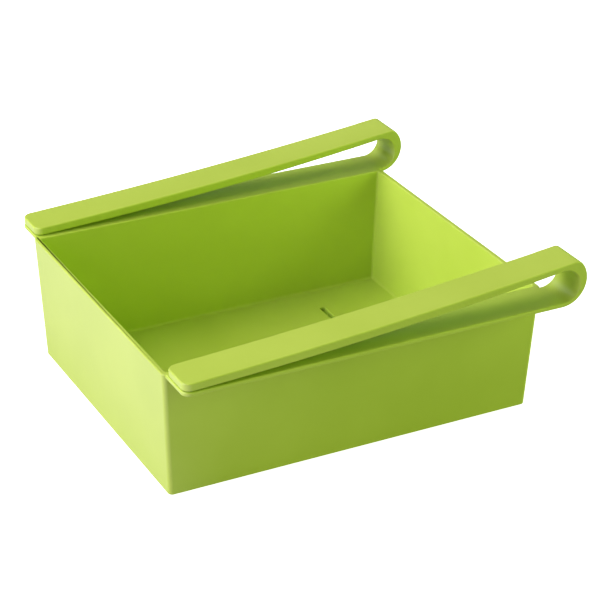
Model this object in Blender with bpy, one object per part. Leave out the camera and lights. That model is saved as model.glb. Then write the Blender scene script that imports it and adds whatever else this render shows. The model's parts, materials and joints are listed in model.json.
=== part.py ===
"""Fridge drawer organizer: a moulded tray hung from a glass shelf by two hairpin spring clips.

The frame has +Z up and +Y towards the back of the fridge, with the clips' loops at the front.
The origin is under the middle of the whole part, on the tray's underside.
"""

import math

import bmesh
import bpy
import numpy as np

# Tray, outside sizes at the rim
TRAY_LENGTH = 0.193
TRAY_WIDTH = 0.1535
TRAY_HEIGHT = 0.063
WALL = 0.0026
FLOOR = 0.0025

# How far each wall leans in from rim to underside, so that the tray leaves its mould
SIDE_DRAFT = 0.0023
END_DRAFT = 0.0032

# Tray roundings
OUTER_CORNER_RADIUS = 0.0035
INNER_CORNER_RADIUS = 0.0012
BASE_EDGE_RADIUS = 0.0010
FLOOR_FILLET_RADIUS = 0.0015
RIM_RADIUS = 0.0008

# Drain slot across the floor, in front of the tray's middle
SLOT_LENGTH = 0.108
SLOT_WIDTH = 0.0025
SLOT_OFFSET = 0.050

# Clip strip: the rail under the shelf, the loop at the front and the spring arm above the shelf
STRIP_WIDTH = 0.0195
RIM_LEDGE = 0.0020
RAIL_THICKNESS = 0.0020
LOOP_REACH = 0.012
LOOP_RADIUS = 0.0125
LOOP_SHOULDER_RADIUS = 0.004
LOOP_LEAD = 0.004
APEX_THICKNESS = 0.0038
ARM_RISE = 0.0149
ARM_BOW = 0.0014
ARM_ROOT_THICKNESS = 0.0030
ARM_TIP_THICKNESS = 0.0038
ARM_BELLY = 0.0008
ARM_TIP_CLEARANCE = 0.0003
ARM_TIP_SETBACK = 0.0016
STRIP_EDGE_RADIUS = 0.0007
TIP_CORNER_RADIUS = 0.004

# Gap left between pieces that touch, and overrun of the cutters
SEAM = 0.0003
CUT_OVERRUN = 0.005

# Facets of the round stretches
CORNER_STEPS = 6
FILLET_STEPS = 3
EDGE_STEPS = 2
LOOP_STEPS = 40
STRIP_STEPS = 12
TIP_STEPS = 6
SLOT_STEPS = 10
SMOOTH_ANGLE = math.radians(35)
QUARTER = math.pi / 2

# Moulded lime plastic: the same colour throughout, a little lighter on the thin strips
TRAY_COLOUR = (0.33, 0.50, 0.035, 1.0)
STRIP_COLOUR = (0.38, 0.54, 0.050, 1.0)
PLASTIC_ROUGHNESS = 0.28

# Places along the part, worked out from the sizes above
BACK_Y = (TRAY_LENGTH + LOOP_REACH) / 2
FRONT_Y = BACK_Y - TRAY_LENGTH
APEX_Y = FRONT_Y - LOOP_REACH
TRAY_MIDDLE_Y = (BACK_Y + FRONT_Y) / 2
RAIL_UNDERSIDE_Z = TRAY_HEIGHT - RAIL_THICKNESS

# The strip's two edges: a ledge of the tray's long wall shows inside the inner one
STRIP_INNER_X = TRAY_WIDTH / 2 - WALL + RIM_LEDGE
STRIP_OUTER_X = STRIP_INNER_X + STRIP_WIDTH

# Heights of the arm's faces where it ends at the tip and where it leaves the loop
ARM_TIP_TOP_Z = TRAY_HEIGHT + ARM_TIP_CLEARANCE + ARM_TIP_THICKNESS
ARM_ROOT_TOP_Z = ARM_TIP_TOP_Z + ARM_RISE
ARM_ROOT_LOW_Z = ARM_ROOT_TOP_Z - ARM_ROOT_THICKNESS

# The joint, where the loop hands over to the rail below and to the arm above
LOOP_HALF_MOUTH = (ARM_ROOT_LOW_Z - TRAY_HEIGHT) / 2
JOINT_Y = APEX_Y + max(LOOP_RADIUS, APEX_THICKNESS + LOOP_HALF_MOUTH) + LOOP_LEAD
ARM_END_Y = BACK_Y - ARM_TIP_SETBACK
ARM_LENGTH = ARM_END_Y - JOINT_Y


def clear_scene():
    """Remove every object that the file starts with."""
    for item in list(bpy.data.objects):
        bpy.data.objects.remove(item, do_unlink=True)


def plastic(name, colour):
    """Make a moulded plastic material of the given colour."""
    material = bpy.data.materials.new(name)
    material.use_nodes = True
    shader = material.node_tree.nodes["Principled BSDF"]
    shader.inputs["Base Color"].default_value = colour
    shader.inputs["Roughness"].default_value = PLASTIC_ROUGHNESS
    shader.inputs["Metallic"].default_value = 0.0
    material.diffuse_color = colour
    return material


def arc(centre, radius, start, end, steps):
    """Points on a circle from one angle to another, both ends included."""
    angles = [start + (end - start) * i / steps for i in range(steps + 1)]
    return [(centre[0] + radius * math.cos(a), centre[1] + radius * math.sin(a)) for a in angles]


def rounded_rectangle(low, high, radius, steps):
    """Outline of a rectangle with round corners, anticlockwise from its right-hand side."""
    corners = [
        (high[0] - radius, high[1] - radius),
        (low[0] + radius, high[1] - radius),
        (low[0] + radius, low[1] + radius),
        (high[0] - radius, low[1] + radius),
    ]
    points = []
    for index, centre in enumerate(corners):
        points += arc(centre, radius, QUARTER * index, QUARTER * (index + 1), steps)
    return points


def loft(rings):
    """Skin a list of rings of equal length and cap both ends."""
    mesh = bmesh.new()
    loops = [[mesh.verts.new(point) for point in ring] for ring in rings]
    for lower, upper in zip(loops, loops[1:]):
        for i in range(len(lower)):
            j = (i + 1) % len(lower)
            mesh.faces.new((lower[i], lower[j], upper[j], upper[i]))
    mesh.faces.new(reversed(loops[0]))
    mesh.faces.new(loops[-1])
    bmesh.ops.recalc_face_normals(mesh, faces=mesh.faces)
    return mesh


def add_object(name, mesh, material=None, origin=(0.0, 0.0, 0.0)):
    """Turn a bmesh in world coordinates into an object whose origin is at the given point."""
    bmesh.ops.translate(mesh, verts=mesh.verts, vec=[-value for value in origin])
    data = bpy.data.meshes.new(name)
    mesh.to_mesh(data)
    mesh.free()
    item = bpy.data.objects.new(name, data)
    item.location = origin
    bpy.context.collection.objects.link(item)
    if material:
        data.materials.append(material)
        data.shade_smooth()
        data.set_sharp_from_angle(angle=SMOOTH_ANGLE)
    return item


def cut(item, cutter):
    """Take the cutter's shape out of an object."""
    cutter.hide_render = True
    cutter.display_type = "WIRE"
    modifier = item.modifiers.new(cutter.name, "BOOLEAN")
    modifier.operation = "DIFFERENCE"
    modifier.solver = "EXACT"
    modifier.object = cutter


def tray_ring(z, inset, radius):
    """Level outline of the tray at one height, drawn in from its drafted outside by an inset."""
    lean = 1 - z / TRAY_HEIGHT
    half_width = TRAY_WIDTH / 2 - SIDE_DRAFT * lean - inset
    half_length = TRAY_LENGTH / 2 - END_DRAFT * lean - inset
    low = (-half_width, TRAY_MIDDLE_Y - half_length)
    high = (half_width, TRAY_MIDDLE_Y + half_length)
    return [(x, y, z) for x, y in rounded_rectangle(low, high, radius, CORNER_STEPS)]


def tray_rings():
    """Outlines up the outside, over the rim and down the inside of the tray."""
    base = BASE_EDGE_RADIUS
    rim_z = TRAY_HEIGHT - RIM_RADIUS
    fillet = FLOOR_FILLET_RADIUS
    outside = arc((base, base), base, 3 * QUARTER, 2 * QUARTER, FILLET_STEPS)
    outside += arc((RIM_RADIUS, rim_z), RIM_RADIUS, 2 * QUARTER, QUARTER, FILLET_STEPS)
    rim = arc((WALL - RIM_RADIUS, rim_z), RIM_RADIUS, QUARTER, 0.0, FILLET_STEPS)
    floor = arc((WALL + fillet, FLOOR + fillet), fillet, 2 * QUARTER, 3 * QUARTER, FILLET_STEPS)
    rings = [tray_ring(z, inset, OUTER_CORNER_RADIUS - inset) for inset, z in outside]
    rings += [tray_ring(z, inset, INNER_CORNER_RADIUS + WALL - inset) for inset, z in rim]
    rings += [tray_ring(z, inset, INNER_CORNER_RADIUS + inset - WALL) for inset, z in floor]
    return rings


def rail_bed_cutter(side):
    """Block that takes the top off one long wall, where the rail sits."""
    near = STRIP_INNER_X - SEAM
    far = STRIP_OUTER_X + CUT_OVERRUN
    low_x, high_x = sorted((side * near, side * far))
    floor_z = RAIL_UNDERSIDE_Z - SEAM
    ceiling_z = TRAY_HEIGHT + CUT_OVERRUN
    outline = [
        (low_x, FRONT_Y - CUT_OVERRUN),
        (high_x, FRONT_Y - CUT_OVERRUN),
        (high_x, BACK_Y + CUT_OVERRUN),
        (low_x, BACK_Y + CUT_OVERRUN),
    ]
    return loft([[(x, y, z) for x, y in outline] for z in (floor_z, ceiling_z)])


def slot_cutter(y):
    """Round-ended bar that cuts the drain slot across the floor."""
    half = SLOT_LENGTH / 2
    radius = SLOT_WIDTH / 2
    outline = arc((half - radius, y), radius, -QUARTER, QUARTER, SLOT_STEPS)
    outline += arc((radius - half, y), radius, QUARTER, 3 * QUARTER, SLOT_STEPS)
    levels = (-CUT_OVERRUN, FLOOR + CUT_OVERRUN)
    return loft([[(x, y_value, z) for x, y_value in outline] for z in levels])


def build_basin():
    """Open tray with drafted walls, a rounded rim, beds for the rails and a drain slot."""
    basin = add_object("basin", loft(tray_rings()), plastic("basin_plastic", TRAY_COLOUR))
    for side, name in ((-1, "left"), (1, "right")):
        cut(basin, add_object(name + "_rail_bed_cutter", rail_bed_cutter(side)))
    cut(basin, add_object("slot_cutter", slot_cutter(TRAY_MIDDLE_Y - SLOT_OFFSET)))
    return basin


def strip_ring(side, low, high, inner_inset=0.0, outer_inset=0.0):
    """Cross-section of the clip strip between two YZ points, drawn in from its edges by insets."""
    length = math.dist(low, high)
    across = ((high[0] - low[0]) / length, (high[1] - low[1]) / length)
    outline = rounded_rectangle(
        (STRIP_INNER_X + inner_inset, 0.0),
        (STRIP_OUTER_X - outer_inset, length),
        STRIP_EDGE_RADIUS,
        EDGE_STEPS,
    )
    return [(side * x, low[0] + across[0] * up, low[1] + across[1] * up) for x, up in outline]


def strip_places(end_y):
    """Places from the joint to the tip, each with the plan inset that rounds the tip's corner."""
    start_y = JOINT_Y + SEAM / 2
    corner_y = end_y - TIP_CORNER_RADIUS
    places = [(start_y + (corner_y - start_y) * i / STRIP_STEPS, 0.0) for i in range(STRIP_STEPS)]
    radius = TIP_CORNER_RADIUS
    corner = arc((corner_y, radius), radius, 3 * QUARTER, 4 * QUARTER, TIP_STEPS)
    return places + corner


def build_rail(side, name):
    """Level flange under the shelf, let into the top of the tray's long wall from outside."""
    rings = []
    for y, inset in strip_places(BACK_Y):
        rings.append(strip_ring(side, (y, RAIL_UNDERSIDE_Z), (y, TRAY_HEIGHT), 0.0, inset))
    return add_object(name, loft(rings), plastic(name + "_plastic", STRIP_COLOUR))


def arm_section(y):
    """Lower and upper point of the arm at one place along it, bowed a little below straight."""
    along = (ARM_END_Y - y) / ARM_LENGTH
    bulge = 4 * along * (1 - along)
    top = ARM_TIP_TOP_Z + ARM_RISE * along - ARM_BOW * bulge
    taper = ARM_TIP_THICKNESS + (ARM_ROOT_THICKNESS - ARM_TIP_THICKNESS) * along
    return (y, top - taper - ARM_BELLY * bulge), (y, top)


def evenly(points, count):
    """Points at even distances along a line of points, both ends included."""
    line = np.array(points)
    travelled = np.concatenate(([0], np.cumsum(np.linalg.norm(np.diff(line, axis=0), axis=1))))
    marks = np.linspace(0, travelled[-1], count)
    return list(zip(np.interp(marks, travelled, line[:, 0]), np.interp(marks, travelled, line[:, 1])))


def loop_outside(start, end, slope):
    """Outer face of the loop: a large arc up from the rail, then a tight shoulder to the arm."""
    normal = math.atan2(1, slope)
    centre = (APEX_Y + LOOP_RADIUS, RAIL_UNDERSIDE_Z + LOOP_RADIUS)
    height = (end[0] - centre[0]) * math.cos(normal) + (end[1] - centre[1]) * math.sin(normal)
    reach = LOOP_RADIUS - LOOP_SHOULDER_RADIUS
    shoulder = normal + math.acos((height - LOOP_SHOULDER_RADIUS) / reach)
    shoulder_centre = (centre[0] + reach * math.cos(shoulder), centre[1] + reach * math.sin(shoulder))
    points = [start] + arc(centre, LOOP_RADIUS, 3 * QUARTER, shoulder, LOOP_STEPS)
    return points + arc(shoulder_centre, LOOP_SHOULDER_RADIUS, shoulder, normal, LOOP_STEPS) + [end]


def loop_inside(start, end, slope):
    """Inner face of the loop: the arc that touches the rail, the apex wall and the arm."""
    normal = math.atan2(1, slope)
    wall_y = APEX_Y + APEX_THICKNESS
    height = end[1] - start[1] + slope * (end[0] - wall_y)
    radius = height / (1 + slope + math.hypot(1, slope))
    centre = (wall_y + radius, start[1] + radius)
    return [start] + arc(centre, radius, 3 * QUARTER, normal, LOOP_STEPS) + [end]


def build_loop(side, name):
    """Hairpin bend that carries the arm: a crescent from the rail's end round to the arm's root."""
    joint_y = JOINT_Y - SEAM / 2
    low, high = arm_section(joint_y)
    low_before, high_before = arm_section(joint_y + SEAM)
    top_slope = (high[1] - high_before[1]) / SEAM
    low_slope = (low[1] - low_before[1]) / SEAM
    outside = evenly(loop_outside((joint_y, RAIL_UNDERSIDE_Z), high, top_slope), LOOP_STEPS)
    inside = evenly(loop_inside((joint_y, TRAY_HEIGHT), low, low_slope), LOOP_STEPS)
    rings = [strip_ring(side, outer, inner) for outer, inner in zip(outside, inside)]
    return add_object(name, loft(rings), plastic(name + "_plastic", STRIP_COLOUR))


def build_arm(side, name):
    """Spring arm: a strip that slopes from the loop down to the rail, thickest in its middle."""
    rings = []
    for y, inset in strip_places(ARM_END_Y):
        low, high = arm_section(y)
        rings.append(strip_ring(side, low, high, inset, inset))
    low, high = arm_section(JOINT_Y)
    hinge = (side * (STRIP_INNER_X + STRIP_OUTER_X) / 2, JOINT_Y, (low[1] + high[1]) / 2)
    return add_object(name, loft(rings), plastic(name + "_plastic", STRIP_COLOUR), hinge)


def build():
    """Build the tray and both clips."""
    clear_scene()
    build_basin()
    for side, name in ((-1, "left"), (1, "right")):
        build_rail(side, name + "_rail")
        build_loop(side, name + "_loop")
        build_arm(side, name + "_arm")


build()
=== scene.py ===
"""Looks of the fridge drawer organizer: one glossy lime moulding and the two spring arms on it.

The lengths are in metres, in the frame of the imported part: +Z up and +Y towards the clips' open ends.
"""

import json
import logging
import math
from dataclasses import dataclass, field
from enum import Enum
from typing import Callable, NamedTuple

import bmesh
import bpy
from mathutils import Matrix, Vector


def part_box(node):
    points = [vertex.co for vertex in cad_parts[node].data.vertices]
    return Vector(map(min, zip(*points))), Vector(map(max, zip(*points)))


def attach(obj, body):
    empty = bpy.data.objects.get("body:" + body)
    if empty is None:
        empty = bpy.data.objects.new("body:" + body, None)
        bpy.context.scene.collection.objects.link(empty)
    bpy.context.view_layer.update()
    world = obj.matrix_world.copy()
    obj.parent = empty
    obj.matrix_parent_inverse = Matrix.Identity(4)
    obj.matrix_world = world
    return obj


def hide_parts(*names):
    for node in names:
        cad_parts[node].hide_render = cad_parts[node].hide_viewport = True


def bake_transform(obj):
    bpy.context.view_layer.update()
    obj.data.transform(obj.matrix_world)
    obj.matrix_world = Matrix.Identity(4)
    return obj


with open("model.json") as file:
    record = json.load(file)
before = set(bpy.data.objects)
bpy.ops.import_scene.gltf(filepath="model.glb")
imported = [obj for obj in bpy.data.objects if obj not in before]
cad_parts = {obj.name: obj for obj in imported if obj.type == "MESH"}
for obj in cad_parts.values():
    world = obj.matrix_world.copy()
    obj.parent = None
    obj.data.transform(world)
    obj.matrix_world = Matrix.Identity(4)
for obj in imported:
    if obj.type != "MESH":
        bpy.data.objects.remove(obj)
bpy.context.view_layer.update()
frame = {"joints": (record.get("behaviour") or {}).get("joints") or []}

log = logging.getLogger("organizer")

Triple = tuple[float, float, float]
Point = tuple[float, float]

WHITE = (1.0, 1.0, 1.0, 1.0)
QUARTER = math.pi / 2

# Places closer than the first distance count as one, and doubles closer than the second are merged
TOUCH = 2e-5
MERGE_DISTANCE = TOUCH / 4

# Edges are shaded smooth up to the first angle, rounded only past the second and dissolved below the third
SMOOTH_ANGLE = math.radians(35)
SHARP_ANGLE = math.radians(50)
FLAT_ANGLE = math.radians(0.2)

# Least downward share of a normal that counts as straight down
FACING_SHARE = 0.9


class Kind(Enum):
    """What an edit-mode tool picks."""

    POINT = "VERT"
    EDGE = "EDGE"
    FACE = "FACE"


class Joining(Enum):
    """What a tool's shape does to a piece."""

    ADD = "UNION"
    CUT = "DIFFERENCE"


class Section(NamedTuple):
    """Where one cross-section of a clip's strip stands in side view: its lower and upper face, as (y, z)."""

    low: Point
    high: Point


def at(vertex: bmesh.types.BMVert, place: Point) -> bool:
    """Tell whether a vertex stands at a place of the side view."""
    return math.hypot(vertex.co.y - place[0], vertex.co.z - place[1]) < TOUCH


def follows(edge: bmesh.types.BMEdge, line: list[Point]) -> bool:
    """Tell whether an edge runs along a line of the side view.

    Args:
        edge: The edge that is tried.
        line: The line's points.

    Returns:
        True if both ends are points of the line and the edge doesn't cross the strip.
    """
    here, there = edge.verts
    on_line = all(any(at(vertex, place) for place in line) for vertex in edge.verts)
    return on_line and abs(here.co.x - there.co.x) < TOUCH


def is_sharp(edge: bmesh.types.BMEdge) -> bool:
    """Tell whether an edge is sharp enough to be rounded."""
    return edge.is_manifold and edge.calc_face_angle(0.0) > SHARP_ANGLE


def faces_down(face: bmesh.types.BMFace) -> bool:
    """Tell whether a face looks straight down."""
    return face.normal.z < -FACING_SHARE


def arc(centre: Point, radius: float, start: float, end: float, steps: int) -> list[Point]:
    """Mark points on a circle.

    Args:
        centre: Middle of the circle in side view.
        radius: Radius of the circle.
        start: Angle of the first point.
        end: Angle of the last point.
        steps: Number of stretches between the points.

    Returns:
        The points, both ends included.
    """
    angles = [start + (end - start) * i / steps for i in range(steps + 1)]
    return [(centre[0] + radius * math.cos(a), centre[1] + radius * math.sin(a)) for a in angles]


def evenly(line: list[Point], count: int) -> list[Point]:
    """Mark points at even distances along a line.

    Args:
        line: The corners of the line.
        count: Number of points to mark.

    Returns:
        The points, both ends of the line included.
    """
    travelled = [0.0]
    for here, there in zip(line, line[1:]):
        travelled.append(travelled[-1] + math.dist(here, there))
    marked, leg = [], 0
    for i in range(count):
        target = travelled[-1] * i / (count - 1)
        while leg < len(line) - 2 and travelled[leg + 1] < target:
            leg += 1
        share = (target - travelled[leg]) / (travelled[leg + 1] - travelled[leg])
        here, there = line[leg], line[leg + 1]
        marked.append((here[0] + (there[0] - here[0]) * share, here[1] + (there[1] - here[1]) * share))
    return marked


class Workpiece:
    """A mesh on the bench: a block that is cut, drawn out and rounded until it is the finished piece."""

    def __init__(self, item: bpy.types.Object) -> None:
        """Take an object onto the bench."""
        self.item = item

    @classmethod
    def block(cls, name: str, low: Triple, high: Triple) -> "Workpiece":
        """Start a piece as a block.

        Args:
            name: Name of the new object.
            low: Lowest corner of the block.
            high: Highest corner of the block.

        Returns:
            The block, with its place in its mesh.
        """
        bpy.ops.object.select_all(action="DESELECT")
        middle = [(a + b) / 2 for a, b in zip(low, high)]
        bpy.ops.mesh.primitive_cube_add(size=1.0, location=middle, scale=[b - a for a, b in zip(low, high)])
        piece = cls(bpy.context.object)
        piece.item.name = name
        piece.settle()
        return piece

    def hold(self) -> None:
        """Make this piece the only selected object."""
        bpy.ops.object.select_all(action="DESELECT")
        self.item.select_set(True)
        bpy.context.view_layer.objects.active = self.item

    def settle(self) -> None:
        """Put the object's place, turn and size into its mesh."""
        self.hold()
        bpy.ops.object.transform_apply(location=True, rotation=True, scale=True)

    def pick(self, kind: Kind, test: Callable[..., bool]) -> int:
        """Select the parts of the mesh that pass a test, in edit mode.

        Args:
            kind: Which parts are tried.
            test: Says of one vertex, edge or face whether it is picked.

        Returns:
            How many were picked.
        """
        if bpy.context.mode != "EDIT_MESH":
            self.hold()
            bpy.ops.object.mode_set(mode="EDIT")
        bpy.ops.mesh.select_mode(type=kind.value)
        bpy.ops.mesh.select_all(action="DESELECT")
        mesh = bmesh.from_edit_mesh(self.item.data)
        mesh.normal_update()
        parts = {Kind.POINT: mesh.verts, Kind.EDGE: mesh.edges, Kind.FACE: mesh.faces}[kind]
        picked = [part for part in parts if test(part)]
        for part in picked:
            part.select_set(True)
        bmesh.update_edit_mesh(self.item.data)
        return len(picked)

    def shrink(self, factors: Triple, centre: Triple) -> None:
        """Scale what is picked about a centre."""
        bpy.ops.transform.resize(value=factors, center_override=centre)

    def shift(self, way: Triple) -> None:
        """Move what is picked."""
        bpy.ops.transform.translate(value=way)

    def round_over(self, radius: float, steps: int) -> None:
        """Round the picked edges."""
        bpy.ops.mesh.bevel(offset=radius, offset_type="OFFSET", segments=steps, profile=0.5, affect="EDGES")

    def draw_out(self, sections: list[Section]) -> None:
        """Draw an end face out along a path, one stretch at a time.

        Args:
            sections: Where the end face stands first and after each stretch.
        """
        for last, new in zip(sections, sections[1:]):
            self.pick(Kind.FACE, lambda face: all(at(v, last.low) or at(v, last.high) for v in face.verts))
            step = (new.low[0] - last.low[0], new.low[1] - last.low[1])
            bpy.ops.mesh.extrude_region_move(TRANSFORM_OT_translate={"value": (0.0, *step)})
            lifted = (last.high[0] + step[0], last.high[1] + step[1])
            self.pick(Kind.POINT, lambda v: at(v, lifted))
            self.shift((0.0, new.high[0] - lifted[0], new.high[1] - lifted[1]))

    def release(self) -> None:
        """Leave edit mode."""
        if bpy.context.mode == "EDIT_MESH":
            bpy.ops.object.mode_set(mode="OBJECT")

    def boolean(self, tool: "Workpiece", joining: Joining) -> None:
        """Add a tool's shape to this piece or cut it away.

        Args:
            tool: The piece that is used up.
            joining: Whether it adds or cuts.
        """
        self.release()
        self.hold()
        bpy.ops.object.modifier_add(type="BOOLEAN")
        modifier = self.item.modifiers[-1]
        modifier.operation = joining.value
        modifier.solver = "EXACT"
        modifier.object = tool.item
        bpy.ops.object.modifier_apply(modifier=modifier.name)
        bpy.data.objects.remove(tool.item, do_unlink=True)

    def clean(self) -> None:
        """Merge doubles and take out the edges that divide a flat face."""
        self.pick(Kind.POINT, lambda vertex: True)
        bpy.ops.mesh.remove_doubles(threshold=MERGE_DISTANCE)
        bpy.ops.mesh.dissolve_limited(angle_limit=FLAT_ANGLE)
        self.release()

    def mirrored(self, name: str) -> "Workpiece":
        """Copy this piece to the other side of the tray.

        Args:
            name: Name of the copy.

        Returns:
            The copy, with a mesh of its own.
        """
        self.release()
        self.hold()
        bpy.ops.object.duplicate(linked=False)
        copy = Workpiece(bpy.context.object)
        copy.item.name = name
        bpy.ops.transform.resize(value=(-1.0, 1.0, 1.0), center_override=(0.0, 0.0, 0.0))
        copy.settle()
        copy.pick(Kind.FACE, lambda face: True)
        bpy.ops.mesh.normals_make_consistent(inside=False)
        copy.release()
        return copy

    def finish(self, plastic: bpy.types.Material) -> bpy.types.Object:
        """Smooth the shading over the roundings, keep the flats flat and give the piece its plastic.

        Args:
            plastic: The finish of the whole piece.

        Returns:
            The finished object.
        """
        self.release()
        self.hold()
        self.item.data.name = self.item.name
        bpy.ops.object.shade_smooth_by_angle(angle=SMOOTH_ANGLE)
        bpy.ops.object.modifier_add(type="WEIGHTED_NORMAL")
        modifier = self.item.modifiers[-1]
        modifier.keep_sharp = True
        bpy.ops.object.modifier_apply(modifier=modifier.name)
        self.item.data.materials.clear()
        self.item.data.materials.append(plastic)
        return self.item


@dataclass(frozen=True)
class MouldedPlastic:
    """Glossy lime plastic, the same all through, with the faint unevenness of a moulded face."""

    name: str
    deep: Triple = (0.530, 0.700, 0.072)
    light: Triple = (0.570, 0.740, 0.088)
    refractive_index: float = 1.49
    roughness_low: float = 0.32
    roughness_high: float = 0.40
    cloud_scale: float = 18.0
    cloud_detail: float = 3.0
    deep_up_to: float = 0.35
    light_from: float = 0.65
    wave_scale: float = 45.0
    wave_detail: float = 1.0
    wave_strength: float = 0.25
    wave_depth: float = 0.0006
    grain_scale: float = 1400.0
    grain_detail: float = 2.0
    grain_strength: float = 0.06
    grain_depth: float = 0.00005

    def make(self) -> bpy.types.Material:
        """Build the finish.

        Returns:
            The new material.
        """
        material = bpy.data.materials.new(self.name)
        material.use_nodes = True
        material.diffuse_color = (*self.light, 1.0)
        nodes, links = material.node_tree.nodes, material.node_tree.links
        shader = nodes["Principled BSDF"]
        shader.inputs["IOR"].default_value = self.refractive_index
        place = nodes.new("ShaderNodeTexCoord")

        cloud = self.noise(nodes, self.cloud_scale, self.cloud_detail)
        ramp = nodes.new("ShaderNodeValToRGB")
        ramp.color_ramp.elements[0].position = self.deep_up_to
        ramp.color_ramp.elements[0].color = (*self.deep, 1.0)
        ramp.color_ramp.elements[1].position = self.light_from
        ramp.color_ramp.elements[1].color = (*self.light, 1.0)
        links.new(place.outputs["Object"], cloud.inputs["Vector"])
        links.new(cloud.outputs["Fac"], ramp.inputs["Fac"])
        links.new(ramp.outputs["Color"], shader.inputs["Base Color"])

        gloss = nodes.new("ShaderNodeMapRange")
        gloss.inputs["To Min"].default_value = self.roughness_low
        gloss.inputs["To Max"].default_value = self.roughness_high
        links.new(cloud.outputs["Fac"], gloss.inputs["Value"])
        links.new(gloss.outputs["Result"], shader.inputs["Roughness"])

        wave = self.noise(nodes, self.wave_scale, self.wave_detail)
        grain = self.noise(nodes, self.grain_scale, self.grain_detail)
        links.new(place.outputs["Object"], wave.inputs["Vector"])
        links.new(place.outputs["Object"], grain.inputs["Vector"])
        swell = self.bump(nodes, self.wave_strength, self.wave_depth)
        skin = self.bump(nodes, self.grain_strength, self.grain_depth)
        links.new(wave.outputs["Fac"], swell.inputs["Height"])
        links.new(grain.outputs["Fac"], skin.inputs["Height"])
        links.new(swell.outputs["Normal"], skin.inputs["Normal"])
        links.new(skin.outputs["Normal"], shader.inputs["Normal"])
        return material

    @staticmethod
    def noise(nodes: bpy.types.Nodes, scale: float, detail: float) -> bpy.types.Node:
        """Add a noise texture.

        Args:
            nodes: The material's nodes.
            scale: Waves to the metre.
            detail: How many finer waves ride on the first.

        Returns:
            The new node.
        """
        node = nodes.new("ShaderNodeTexNoise")
        node.inputs["Scale"].default_value = scale
        node.inputs["Detail"].default_value = detail
        return node

    @staticmethod
    def bump(nodes: bpy.types.Nodes, strength: float, depth: float) -> bpy.types.Node:
        """Add a bump.

        Args:
            nodes: The material's nodes.
            strength: Share of the bump that shows.
            depth: Height of the bump in metres.

        Returns:
            The new node.
        """
        node = nodes.new("ShaderNodeBump")
        node.inputs["Strength"].default_value = strength
        node.inputs["Distance"].default_value = depth
        return node


@dataclass
class ClipProfile:
    """Side view of a spring clip: level flange, hairpin loop and the bowed arm that slopes back over it."""

    rail: tuple[Vector, Vector]
    loop: tuple[Vector, Vector]
    arm: tuple[Vector, Vector]
    joint: Point
    loop_radius: float = 0.0125
    shoulder_radius: float = 0.004
    apex_thickness: float = 0.0038
    arm_rise: float = 0.0149
    arm_bow: float = 0.0014
    arm_belly: float = 0.0008
    root_thickness: float = 0.0030
    tip_thickness: float = 0.0038
    outer_steps: int = 80
    shoulder_steps: int = 40
    inner_steps: int = 120

    def arm_section(self, y: float) -> Section:
        """Place the arm's lower and upper face at one point along it.

        Args:
            y: The point along the arm.

        Returns:
            The arm's section there.
        """
        low, high = self.arm
        along = (high.y - y) / (high.y - self.joint[0])
        bulge = 4 * along * (1 - along)
        top = low.z + self.tip_thickness + self.arm_rise * along - self.arm_bow * bulge
        thickness = self.tip_thickness + (self.root_thickness - self.tip_thickness) * along
        return Section((y, top - thickness - self.arm_belly * bulge), (y, top))

    def arm_sections(self, steps: int) -> list[Section]:
        """List the arm's sections from its root to its tip."""
        start, end = self.joint[0], self.arm[1].y
        return [self.arm_section(start + (end - start) * i / steps) for i in range(steps + 1)]

    def outside(self, start_y: float, slope: float, end: Point) -> list[Point]:
        """Draw the loop's outer face: a large arc up from the flange, then a tight shoulder to the arm.

        Args:
            start_y: Where the line leaves the tray's front wall.
            slope: Rise of the arm's upper face towards the loop.
            end: Where the arm's upper face starts.

        Returns:
            The line in side view.
        """
        normal = math.atan2(1, slope)
        centre = (self.loop[0].y + self.loop_radius, self.rail[0].z + self.loop_radius)
        height = (end[0] - centre[0]) * math.cos(normal) + (end[1] - centre[1]) * math.sin(normal)
        reach = self.loop_radius - self.shoulder_radius
        shoulder = normal + math.acos((height - self.shoulder_radius) / reach)
        middle = (centre[0] + reach * math.cos(shoulder), centre[1] + reach * math.sin(shoulder))
        first = 3 * QUARTER - math.asin((centre[0] - start_y) / self.loop_radius)
        line = arc(centre, self.loop_radius, first, shoulder, self.outer_steps)
        return line + arc(middle, self.shoulder_radius, shoulder, normal, self.shoulder_steps)[1:] + [end]

    def inside(self, start_y: float, slope: float, end: Point) -> list[Point]:
        """Draw the loop's inner face: the arc that touches the flange, the apex wall and the arm.

        Args:
            start_y: Where the line leaves the tray's front wall.
            slope: Rise of the arm's lower face towards the loop.
            end: Where the arm's lower face starts.

        Returns:
            The line in side view.
        """
        normal = math.atan2(1, slope)
        start = (start_y, self.rail[1].z)
        wall_y = self.loop[0].y + self.apex_thickness
        height = end[1] - start[1] + slope * (end[0] - wall_y)
        radius = height / (1 + slope + math.hypot(1, slope))
        centre = (wall_y + radius, start[1] + radius)
        return [start] + arc(centre, radius, 3 * QUARTER, normal, self.inner_steps) + [end]

    def hairpin(self, start_y: float, steps: int) -> list[Section]:
        """List the loop's sections from the tray's front wall round to the arm's root.

        Args:
            start_y: Where the loop leaves the tray's front wall.
            steps: Number of stretches round the loop.

        Returns:
            The sections, the first on the wall and the last at the joint.
        """
        root, after = self.arm_section(self.joint[0]), self.arm_section(self.joint[0] + TOUCH)
        top_slope = (root.high[1] - after.high[1]) / TOUCH
        low_slope = (root.low[1] - after.low[1]) / TOUCH
        outer = evenly(self.outside(start_y, top_slope, root.high), steps + 1)
        inner = evenly(self.inside(start_y, low_slope, root.low), steps + 1)
        return [Section(low, high) for low, high in zip(outer, inner)]


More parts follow.
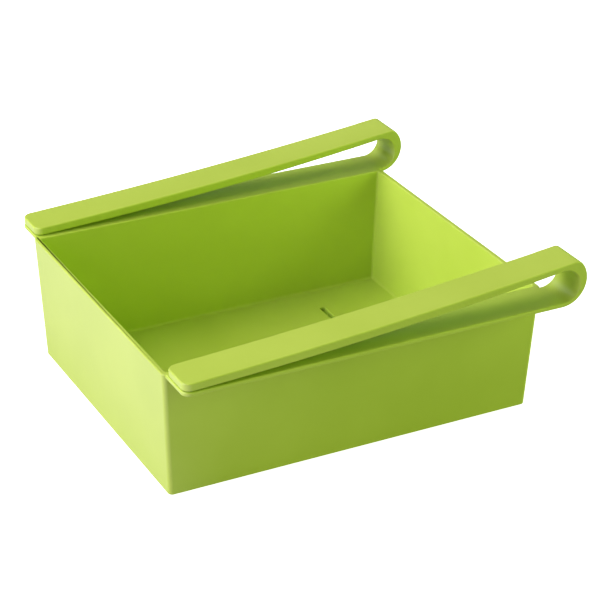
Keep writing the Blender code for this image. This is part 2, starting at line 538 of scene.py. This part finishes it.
@dataclass
class TrayMoulding:
    """The tray with drafted walls, the flange along each long wall and the hairpin loop at its front end."""

    basin: tuple[Vector, Vector]
    profile: ClipProfile
    plastic: bpy.types.Material
    wall: float = 0.0026
    floor: float = 0.0025
    side_draft: float = 0.0023
    end_draft: float = 0.0032
    corner_radius: float = 0.0022
    corner_steps: int = 10
    base_radius: float = 0.0005
    inner_radius: float = 0.0014
    inner_steps: int = 6
    rim_radius: float = 0.0007
    flange_radius: float = 0.0005
    edge_steps: int = 4
    flange_setback: float = 0.0013
    tip_radius: float = 0.004
    tip_steps: int = 10
    slot_length: float = 0.106
    slot_width: float = 0.0025
    slot_offset: float = 0.0505
    slot_round_share: float = 0.999
    slot_round_steps: int = 10
    slot_edge: float = 0.0005
    slot_edge_steps: int = 3
    slot_taper: float = 0.15
    slot_reach: float = 0.001
    overrun: float = 0.005
    loop_steps: int = 56
    loop_sections: list[Section] = field(default_factory=list)

    @property
    def middle_y(self) -> float:
        """Give the place of the tray's middle between its ends."""
        return (self.basin[0].y + self.basin[1].y) / 2

    @property
    def slot_y(self) -> float:
        """Give the place of the drain slot's middle line."""
        return self.middle_y - self.slot_offset

    def lean(self, z: float) -> Point:
        """Tell how far the walls lean in at a height: on the long sides and at the ends."""
        share = 1 - z / self.basin[1].z
        return self.side_draft * share, self.end_draft * share

    def drafted(self, name: str, low_z: float, high_z: float, inset: float) -> Workpiece:
        """Shape a block whose walls lean as the tray's do.

        Args:
            name: Name of the new object.
            low_z: Height of its underside.
            high_z: Height of its top.
            inset: How far it lies inside the tray's outside.

        Returns:
            The tapered block.
        """
        low, high = self.basin
        half_width, half_length = high.x - inset, (high.y - low.y) / 2 - inset
        top_lean, base_lean = self.lean(high_z), self.lean(low_z)
        half_x, half_y = half_width - top_lean[0], half_length - top_lean[1]
        corners = (-half_x, self.middle_y - half_y, low_z), (half_x, self.middle_y + half_y, high_z)
        block = Workpiece.block(name, *corners)
        block.pick(Kind.FACE, faces_down)
        factors = ((half_width - base_lean[0]) / half_x, (half_length - base_lean[1]) / half_y, 1.0)
        block.shrink(factors, (0.0, self.middle_y, low_z))
        return block

    def body(self) -> Workpiece:
        """Shape the tray's outside: drafted, with round corners and a rounded lower edge.

        Returns:
            The tray, still solid.
        """
        block = self.drafted("tray_moulding", self.basin[0].z, self.basin[1].z, 0.0)
        block.pick(Kind.EDGE, self.is_upright_edge)
        block.round_over(self.corner_radius, self.corner_steps)
        base = self.basin[0].z + TOUCH
        block.pick(Kind.EDGE, lambda edge: all(v.co.z < base for v in edge.verts))
        block.round_over(self.base_radius, self.edge_steps)
        block.release()
        return block

    def cavity(self) -> Workpiece:
        """Shape the tool that hollows the tray: drafted, with the fillets of the inside.

        Returns:
            The tool.
        """
        tool = self.drafted("cavity", self.floor, self.basin[1].z + self.overrun, self.wall)
        top = self.basin[1].z
        tool.pick(Kind.EDGE, lambda edge: not all(v.co.z > top for v in edge.verts))
        tool.round_over(self.inner_radius, self.inner_steps)
        tool.release()
        return tool

    def slot(self) -> Workpiece:
        """Shape the tool that cuts the drain slot: a bar with round ends that widens downwards.

        Returns:
            The tool.
        """
        spread = self.slot_taper * self.slot_reach
        half_x, half_y = self.slot_length / 2 - spread, self.slot_width / 2 - spread
        top, base = self.floor + self.slot_reach, -self.slot_reach
        corners = (-half_x, self.slot_y - half_y, base), (half_x, self.slot_y + half_y, top)
        tool = Workpiece.block("slot", *corners)
        tool.pick(Kind.EDGE, self.is_upright_edge)
        tool.round_over(half_y * self.slot_round_share, self.slot_round_steps)
        growth = self.slot_taper * (top - base)
        tool.pick(Kind.FACE, faces_down)
        tool.shrink((1 + growth / half_x, 1 + growth / half_y, 1.0), (0.0, self.slot_y, base))
        tool.release()
        return tool

    def flange(self) -> Workpiece:
        """Shape the left flange and draw its front end out round the hairpin loop.

        Returns:
            The flange with its loop.
        """
        rail_low, rail_high = self.profile.rail
        front, back = self.basin[0].y, self.basin[1].y - self.flange_setback
        piece = Workpiece.block(
            "left_flange", (rail_low.x, front, rail_low.z), (rail_high.x, back, rail_high.z)
        )
        lean = self.lean(rail_low.z)[1]
        for end, way in ((front, lean), (back, -lean)):
            piece.pick(Kind.POINT, lambda v: at(v, (end, rail_low.z)))
            piece.shift((0.0, way, 0.0))
        start = Section((front + lean, rail_low.z), (front, rail_high.z))
        self.loop_sections = [start] + self.profile.hairpin(front, self.loop_steps)[1:]
        piece.draw_out(self.loop_sections)

        piece.pick(
            Kind.EDGE,
            lambda e: all(v.co.y > back - self.wall and v.co.x < rail_low.x + TOUCH for v in e.verts),
        )
        piece.round_over(self.tip_radius, self.tip_steps)
        piece.pick(Kind.EDGE, self.is_lower_edge)
        piece.round_over(self.flange_radius, self.edge_steps)
        piece.release()
        return piece

    def is_upright_edge(self, edge: bmesh.types.BMEdge) -> bool:
        """Tell whether an edge climbs by more than the wall's thickness."""
        return abs(edge.verts[0].co.z - edge.verts[1].co.z) > self.wall

    def is_lower_edge(self, edge: bmesh.types.BMEdge) -> bool:
        """Tell whether an edge bounds the flange's underside or the loop's outer face, where it is free.

        Args:
            edge: An edge of the flange with its loop.

        Returns:
            True if it is one of these.
        """
        if not is_sharp(edge):
            return False
        here, there = (v.co for v in edge.verts)
        if max(here.z, there.z) < self.profile.rail[0].z + TOUCH:
            return min(here.y, there.y) > self.basin[0].y + self.wall or abs(here.y - there.y) > TOUCH
        return follows(edge, [section.low for section in self.loop_sections])

    def is_upper_edge(self, edge: bmesh.types.BMEdge) -> bool:
        """Tell whether an edge bounds the rim, the flange's top or the loop's inner face.

        Args:
            edge: An edge of the joined moulding.

        Returns:
            True if it is one of these.
        """
        if not is_sharp(edge) or not edge.is_convex:
            return False
        if all(abs(v.co.z - self.basin[1].z) < TOUCH for v in edge.verts):
            return True
        return follows(edge, [section.high for section in self.loop_sections])

    def is_slot_edge(self, edge: bmesh.types.BMEdge) -> bool:
        """Tell whether an edge bounds the drain slot where it opens into the tray.

        Args:
            edge: An edge of the joined moulding.

        Returns:
            True if it is one of these.
        """
        on_floor = all(abs(v.co.z - self.floor) < TOUCH for v in edge.verts)
        by_slot = all(abs(v.co.y - self.slot_y) < self.slot_width for v in edge.verts)
        return edge.is_convex and on_floor and by_slot

    def build(self) -> bpy.types.Object:
        """Build the moulding.

        Returns:
            The finished object.
        """
        piece = self.body()
        left = self.flange()
        right = left.mirrored("right_flange")
        piece.boolean(left, Joining.ADD)
        piece.boolean(right, Joining.ADD)
        piece.boolean(self.cavity(), Joining.CUT)
        piece.boolean(self.slot(), Joining.CUT)
        piece.clean()
        log.info("upper edges rounded: %d", piece.pick(Kind.EDGE, self.is_upper_edge))
        piece.round_over(self.rim_radius, self.edge_steps)
        log.info("slot edges rounded: %d", piece.pick(Kind.EDGE, self.is_slot_edge))
        piece.round_over(self.slot_edge, self.slot_edge_steps)
        return piece.finish(self.plastic)


@dataclass
class SpringArm:
    """The sloping strip that presses down on the glass: bowed a little, thickest in its middle."""

    profile: ClipProfile
    plastic: bpy.types.Material
    tip_radius: float = 0.004
    tip_steps: int = 10
    edge_radius: float = 0.0007
    edge_steps: int = 4
    steps: int = 24
    bend_length: float = 0.030

    def build(self) -> Workpiece:
        """Build the left arm.

        Returns:
            The arm, still on the bench.
        """
        low, high = self.profile.rail
        sections = self.profile.arm_sections(self.steps)
        first, second = sections[0], sections[1]
        piece = Workpiece.block(
            "left_arm", (low.x, first.low[0], first.low[1]), (high.x, second.low[0], first.high[1])
        )
        for old, new in ((first.low, second.low), (first.high, second.high)):
            piece.pick(Kind.POINT, lambda v: at(v, (second.low[0], old[1])))
            piece.shift((0.0, 0.0, new[1] - old[1]))
        piece.draw_out(sections[1:])
        tip = sections[-1].low[0] - TOUCH
        piece.pick(
            Kind.EDGE,
            lambda e: all(v.co.y > tip for v in e.verts) and abs(e.verts[0].co.x - e.verts[1].co.x) < TOUCH,
        )
        piece.round_over(self.tip_radius, self.tip_steps)
        root = first.low[0] + TOUCH
        piece.pick(Kind.EDGE, lambda e: is_sharp(e) and not all(v.co.y < root for v in e.verts))
        piece.round_over(self.edge_radius, self.edge_steps)
        piece.release()
        return piece


@dataclass(frozen=True)
class SoftLight:
    """A square diffusing panel that faces the tray."""

    name: str
    place: Triple
    power: float
    colour: Triple = (1.0, 1.0, 1.0)
    size: float = 1.0

    def hang(self) -> None:
        """Hang the panel at its place and turn it to the tray."""
        bpy.ops.object.light_add(type="AREA", location=self.place)
        lamp = bpy.context.object
        lamp.name = self.name
        lamp.data.size = self.size
        lamp.data.energy = self.power
        lamp.data.color = self.colour
        lamp.rotation_euler = Vector(self.place).to_track_quat("Z", "Y").to_euler()


@dataclass
class Studio:
    """A plain white table, a pale card that throws soft light up at the tray, soft panels and the camera."""

    floor_size: Point = (4.0, 4.0)
    floor_middle: Point = (0.0, 0.0)
    table_drop: float = 0.0002
    table_colour: Triple = (0.9, 0.9, 0.9)
    paint_roughness: float = 0.9
    paint_specular: float = 0.1
    card_colour: Triple = (0.2, 0.2, 0.2)
    card_glow: float = 1.1
    card_pale: Triple = (0.25, 0.25, 0.14)
    card_bright: Triple = (0.50, 0.42, 1.00)
    bright_from: float = 0.06
    bright_to: float = 0.16
    # Painted shade: a green sheet under the tray that stands for the floor in the tray's shadow, seen
    # through the drain slot
    shade_size: Point = (0.142, 0.178)
    shade_middle: Point = (0.0, 0.006)
    shade_colour: Triple = (0.45, 0.66, 0.07)
    camera_place: Triple = (-0.8120, 0.4232, 0.5097)
    camera_right: Triple = (-0.4620, -0.8868, 0.0135)
    camera_down: Triple = (-0.4117, 0.2010, -0.8889)
    camera_ahead: Triple = (0.7855, -0.4163, -0.4579)
    focal_pixels: float = 2136.95
    image_pixels: float = 612.0
    sensor: float = 36.0
    lights: tuple[SoftLight, ...] = (
        SoftLight("window_light", (0.0, 1.50, 0.55), 22.5, colour=(0.8, 0.76, 1.0)),
        SoftLight("high_window_light", (0.0, 1.03, 1.23), 6.0, colour=(1.0, 0.95, 1.0)),
        SoftLight("corner_light", (0.73, 0.73, 1.23), 12.5, colour=(1.0, 0.96, 1.0)),
        SoftLight("doorway_light", (0.0, -1.50, 0.55), 9.2),
        SoftLight("side_light", (-1.06, -1.06, 0.55), 10.6, colour=(0.76, 1.0, 0.25)),
        SoftLight("sheen_light", (1.26, -0.67, 0.73), 0.9, colour=(0.7, 0.5, 1.0)),
    )

    def sheet(
        self, name: str, size: Point, middle: Point, depth: float, colour: Triple
    ) -> tuple[bpy.types.Object, bpy.types.Node]:
        """Lay a flat sheet under the tray.

        Args:
            name: Name of the sheet and of its paint.
            size: Its width and length.
            middle: Its middle.
            depth: How far it lies under the tray's underside.
            colour: The colour of its paint.

        Returns:
            The sheet and the shader of its paint.
        """
        bpy.ops.object.select_all(action="DESELECT")
        bpy.ops.mesh.primitive_plane_add(size=1.0, location=(*middle, -depth))
        bpy.ops.transform.resize(value=(*size, 1.0))
        item = bpy.context.object
        item.name = name
        Workpiece(item).settle()
        paint = bpy.data.materials.new(name + "_paint")
        paint.use_nodes = True
        shader = paint.node_tree.nodes["Principled BSDF"]
        shader.inputs["Base Color"].default_value = (*colour, 1.0)
        shader.inputs["Roughness"].default_value = self.paint_roughness
        shader.inputs["Specular IOR Level"].default_value = self.paint_specular
        item.data.materials.append(paint)
        return item, shader

    def lay_table(self) -> None:
        """Lay the white table, which the camera sees and the tray doesn't."""
        table, paint = self.sheet(
            "white_table", self.floor_size, self.floor_middle, self.table_drop, self.table_colour
        )
        paint.inputs["Emission Color"].default_value = WHITE
        paint.inputs["Emission Strength"].default_value = 1.0
        table.visible_diffuse = table.visible_glossy = table.visible_shadow = False

    def lay_card(self) -> None:
        """Lay the card, unseen by the camera, that lights the tray from below and brightest at its back."""
        card, paint = self.sheet(
            "bounce_card", self.floor_size, self.floor_middle, 2 * self.table_drop, self.card_colour
        )
        card.visible_camera = False
        paint.inputs["Emission Strength"].default_value = self.card_glow
        nodes, links = paint.id_data.nodes, paint.id_data.links
        place = nodes.new("ShaderNodeTexCoord")
        split = nodes.new("ShaderNodeSeparateXYZ")
        fade = nodes.new("ShaderNodeMapRange")
        fade.interpolation_type = "SMOOTHSTEP"
        fade.inputs["From Min"].default_value = self.bright_from
        fade.inputs["From Max"].default_value = self.bright_to
        ramp = nodes.new("ShaderNodeValToRGB")
        ramp.color_ramp.elements[0].color = (*self.card_pale, 1.0)
        ramp.color_ramp.elements[1].color = (*self.card_bright, 1.0)
        links.new(place.outputs["Object"], split.inputs["Vector"])
        links.new(split.outputs["Y"], fade.inputs["Value"])
        links.new(fade.outputs["Result"], ramp.inputs["Fac"])
        links.new(ramp.outputs["Color"], paint.inputs["Emission Color"])

    def lay_shade(self) -> None:
        """Lay the green sheet of painted shade, the floor in the tray's shadow, that shows through the drain
        slot.
        """
        self.sheet("shade", self.shade_size, self.shade_middle, self.table_drop / 2, self.shade_colour)

    def light_room(self) -> None:
        """Close the room with white walls that only the camera sees, and hang the panels."""
        world = bpy.data.worlds.new("room")
        bpy.context.scene.world = world
        world.use_nodes = True
        background = world.node_tree.nodes["Background"]
        background.inputs["Color"].default_value = WHITE
        background.inputs["Strength"].default_value = 1.0
        world.cycles_visibility.diffuse = False
        world.cycles_visibility.glossy = False
        for light in self.lights:
            light.hang()
        bpy.context.scene.view_settings.view_transform = "Standard"

    def set_camera(self) -> None:
        """Stand the camera where the photograph was taken from."""
        data = bpy.data.cameras.new("camera")
        data.sensor_width = self.sensor
        data.lens = self.sensor * self.focal_pixels / self.image_pixels
        camera = bpy.data.objects.new("camera", data)
        bpy.context.scene.collection.objects.link(camera)
        right, down, ahead = (Vector(v) for v in (self.camera_right, self.camera_down, self.camera_ahead))
        turn = Matrix((right, -down, -ahead)).transposed().to_4x4()
        camera.matrix_world = Matrix.Translation(self.camera_place) @ turn
        bpy.context.scene.camera = camera


def main() -> None:
    """Build the moulding, both arms and the studio, and log how many faces each piece has."""
    logging.basicConfig(level=logging.INFO, format="%(message)s")
    joints = {joint["name"]: joint for joint in frame["joints"]}
    hinge = joints["left_clip_flex"]["pos_m"]
    clip = [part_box(node) for node in ("left_rail", "left_loop", "left_arm")]
    profile = ClipProfile(*clip, joint=(hinge[1], hinge[2]))

    tray_plastic = MouldedPlastic("lime_tray_plastic").make()
    tray = TrayMoulding(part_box("basin"), profile, tray_plastic).build()
    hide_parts("basin", "left_rail", "right_rail", "left_loop", "right_loop")
    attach(tray, "tray")
    log.info("%s: %d faces", tray.name, len(tray.data.polygons))

    clip_plastic = MouldedPlastic("lime_clip_plastic").make()
    arm = SpringArm(profile, clip_plastic)
    left = arm.build()
    right = left.mirrored("right_arm")
    for piece, node, body in ((left, "left_arm", "left_clip"), (right, "right_arm", "right_clip")):
        piece.item.name = node + "_strip"
        item = piece.finish(arm.plastic)
        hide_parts(node)
        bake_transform(item)
        log.info("%s: %d faces", item.name, len(item.data.polygons))

    studio = Studio()
    studio.set_camera()
    studio.lay_table()
    studio.lay_card()
    studio.lay_shade()
    studio.light_room()


if __name__ == "__main__":
    main()
